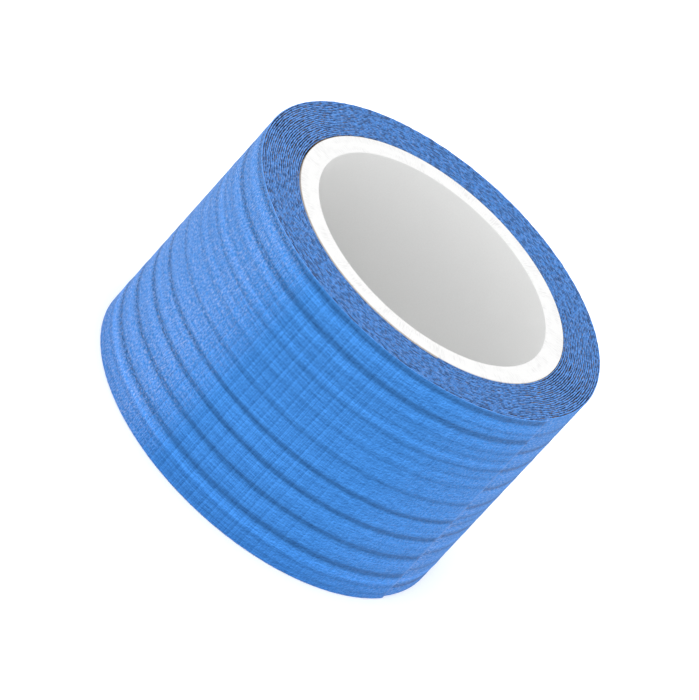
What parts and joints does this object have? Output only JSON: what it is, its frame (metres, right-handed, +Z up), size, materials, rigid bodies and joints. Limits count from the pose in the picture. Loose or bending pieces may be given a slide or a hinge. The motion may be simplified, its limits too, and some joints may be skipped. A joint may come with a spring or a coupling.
{
  "type": "cohesive bandage roll",
  "caption": "Roll of blue crepe cohesive bandage wound on a white board tube, with creases round its side and its free end stuck down.",
  "frame": {"origin": "centre of the end that the roll stands on, at the level of the surface", "axes": "+Z up along the roll's axis; -Y is the side that faces the viewer"},
  "size_m": [0.076, 0.0762, 0.05],
  "materials": {
    "crepe_cloth": "matt crepe with a slight sheen",
    "core_board": "smooth white"
  },
  "bodies": {
    "root": {"wound_strip": "crepe_cloth", "core_tube": "core_board"}
  },
  "joints": []
}
